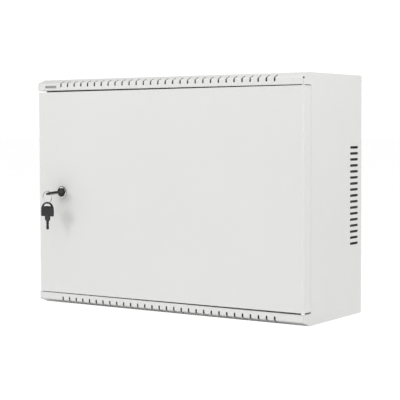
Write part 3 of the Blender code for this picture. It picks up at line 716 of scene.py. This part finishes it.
def key_blade(length):
    """A key's blade, cut along both edges and grooved along both faces."""
    right = [
        (KEY_COLLAR_HALF - 0.5, KEY_COLLAR_END - KEY_COLLAR_LAP),
        (KEY_COLLAR_HALF - 0.5, KEY_COLLAR_END + 0.3),
        (KEY_BLADE_HALF + 0.2, KEY_BLADE_START),
        (KEY_BLADE_HALF, KEY_BLADE_START + 0.4),
    ]
    pitch = (length - 2.4 - KEY_BLADE_START - 0.8) / len(KEY_CUTS)
    for index, depth in enumerate(KEY_CUTS):
        start = KEY_BLADE_START + 0.8 + index * pitch
        right += [
            (KEY_BLADE_HALF, start),
            (KEY_BLADE_HALF - depth, start + pitch * 0.35),
            (KEY_BLADE_HALF - depth, start + pitch * 0.6),
            (KEY_BLADE_HALF, start + pitch * 0.95),
        ]
    right += [(KEY_BLADE_HALF, length - 1.9), (0.7, length)]
    half = KEY_BLADE_HALF_THICKNESS
    blade = plate([both_edges(right)], -half, half, 0.3)
    middle = (length + KEY_COLLAR_END - 0.7) / 2
    groove = rounded_rectangle(0.55, (length - KEY_COLLAR_END - 2.3) / 2, 0.5, (0, middle))
    return carved(blade, sunk_on_both_faces(groove, half, 0.38))


def sunk_on_both_faces(loop, half, depth):
    cutters = []
    for side in (-1, 1):
        cutters.append(plate([loop], *sorted((side * (half - depth), side * (half + 1)))))
    return cutters


def key_head():
    """A key's thick rounded head, with a ring hole and a sunk panel on both faces."""
    right = [
        (KEY_HALF, KEY_HEAD_LENGTH - 1.0),
        (KEY_HALF - 0.3, KEY_HEAD_LENGTH - 0.3),
        (KEY_HALF - 1.0, KEY_HEAD_LENGTH),
        (KEY_COLLAR_HALF + 0.4, KEY_HEAD_LENGTH),
        (KEY_COLLAR_HALF, KEY_HEAD_LENGTH + 0.4),
        (KEY_COLLAR_HALF, KEY_COLLAR_END),
    ]
    left = [(-across, along) for across, along in right[::-1]]
    outline = arc((0, KEY_HALF), KEY_HALF, 180, 360, 40) + right + left
    radius = KEY_HALF - KEY_RIM
    span = math.degrees(math.acos((KEY_HALF - KEY_HOLE_END) / radius))
    hole = arc((0, KEY_HALF), radius, 270 - span, 270 + span, 24)
    half_chord = radius * math.sin(math.radians(span))
    for step in range(1, 12):
        across = half_chord * (1 - step / 6)
        hole.append((across, KEY_HOLE_END - 1.1 * (1 - (across / half_chord) ** 2)))
    half = KEY_HEAD_HALF_THICKNESS
    head = plate([outline, hole], -half, half, 0.45)
    panel = rounded_rectangle(KEY_HALF - 2.2, 5.9, 1.6, (0, 16.7))
    return carved(head, sunk_on_both_faces(panel, half, 0.25))


def key_shape(length):
    return gathered([key_head(), key_blade(length)])


def add_keys():
    low, high = box_mm("key")
    centre = (low + high) / 2
    lying = Matrix.Translation((centre.x, low.y, centre.z))
    lying @= Matrix.Rotation(math.radians(-KEY_TILT), 4, "Y")
    add_piece("key", key_shape(high.y - low.y), lying)

    low, high = box_mm("spare_key")
    centre = (low + high) / 2
    hanging = Matrix.Translation((centre.x, centre.y, high.z))
    hanging @= Matrix.Rotation(-math.pi / 2, 4, "X")
    add_piece("spare_key", key_shape(high.z - low.z), hanging)


def add_split_ring():
    """Two turns of flattened wire side by side, crossing over in a short kink."""
    low, high = box_mm("split_ring")
    centre = (low + high) / 2
    half_height = (high.x - low.x) / 2
    radius = (high.z - low.z) / 2 - half_height
    half_wire = half_height / 2 - 0.02
    section = rounded_rectangle(half_height, half_wire, half_wire * 0.9, steps=3)
    shape = bmesh.new()
    steps, kink = 176, 12
    rings = []
    for step in range(steps + 1):
        share = min(max((step - steps / 2) / kink + 0.5, 0), 1)
        lift = (share * share * (3 - 2 * share) - 0.5) * half_height
        turn = 2 * math.tau * step / steps + math.radians(110)
        ring = []
        for radial, side in section:
            ring.append(shape.verts.new(around(radius + radial, turn, lift + side)))
        rings.append(ring)
    for first, second in zip(rings, rings[1:]):
        for index in range(len(section)):
            after = (index + 1) % len(section)
            shape.faces.new((first[index], first[after], second[after], second[index]))
    shape.faces.new(rings[0])
    shape.faces.new(rings[-1][::-1])
    bmesh.ops.recalc_face_normals(shape, faces=shape.faces)
    add_piece("split_ring", shape, looking(centre, (1, 0, 0)))


def add_hinge(level):
    pin = level + "_hinge_pin"
    low, high = box_mm(pin)
    half, radius = (high.z - low.z) / 2, (high.x - low.x) / 2
    ends = [(radius - 0.5, half), (radius - 0.15, half - 0.12), (radius, half - 0.5)]
    lower = [(across, -along) for across, along in ends[::-1]]
    shape = turned([(0, half), *ends, *lower, (0, -half)], 40)
    add_piece(pin, shape, looking(middle_mm(pin), (0, 0, 1)))

    washer = level + "_hinge_washer"
    low, high = box_mm(washer)
    half, radius, bore = (high.z - low.z) / 2, (high.x - low.x) / 2, 1.7
    soft = 0.22
    profile = [
        (bore, soft - half),
        (bore + soft, -half),
        (radius - soft, -half),
        (radius, soft - half),
        (radius, half - soft),
        (radius - soft, half),
        (bore + soft, half),
        (bore, half - soft),
    ]
    add_piece(washer, turned(profile, 48, closed=True), looking(middle_mm(washer), (0, 0, 1)))


def add_nameplate():
    """A blank plate with rounded corners and a shallow sunk field."""
    low, high = box_mm("blank_nameplate")
    half_width, half_height = (high.x - low.x) / 2, (high.z - low.z) / 2
    thick = high.y - low.y
    body = plate([rounded_rectangle(half_width, half_height, 0.8)], -thick, 0, 0.16)
    field = plate([rounded_rectangle(half_width - 0.7, half_height - 0.7, 0.35)], -0.14, 1)
    place = looking((middle_mm("blank_nameplate").x, low.y, (low.z + high.z) / 2), (0, -1, 0))
    add_piece("blank_nameplate", carved(body, [field]), place)


def add_earth_stud():
    low, high = box_mm("earth_stud")
    radius, length = (high.x - low.x) / 2, high.y - low.y
    core = radius - 0.4
    profile = [(0, 0), (core - 0.5, -0.08), (core - 0.1, -0.45), (core, -0.9)]
    profile += [(core, -length + 1.2), (radius, -length + 1.2), (radius, -length), (0, -length)]
    thread = threaded(radius, 0.38, 1.0, -length + 1.2, -0.7)
    place = looking((middle_mm("earth_stud").x, low.y, (low.z + high.z) / 2), (0, -1, 0))
    add_piece("earth_stud", gathered([turned(profile, 40), thread]), place)


def add_small_parts():
    add_lock_housing()
    add_lock_plug()
    add_keys()
    add_split_ring()
    add_nameplate()
    add_earth_stud()
    add_hex_nut("lock_nut", (0, 1, 0), 8.3, 1.0)
    add_hex_nut("earth_nut", (0, -1, 0), 3.3, 1.0)
    add_screw("cam_screw", (0, 1, 0), 4.0, 2.5, 1.8, 0.7)
    for side, word in ((-1, "left"), (1, "right")):
        for level in ("lower", "upper"):
            add_screw(f"{word}_{level}_rail_screw", (-side, 0, 0), 4.2, 2.2, 2.1, 0.8)
        add_screw(f"top_cover_{word}_screw", (0, 0, -1), 4.0, 2.2, 2.0, 0.7)
        add_screw(f"bottom_cover_{word}_screw", (0, 0, 1), 4.0, 2.2, 2.0, 0.7)
    for level in ("lower", "upper"):
        add_hinge(level)


add_camera()
add_studio()
finish_cad_nodes()
add_small_parts()
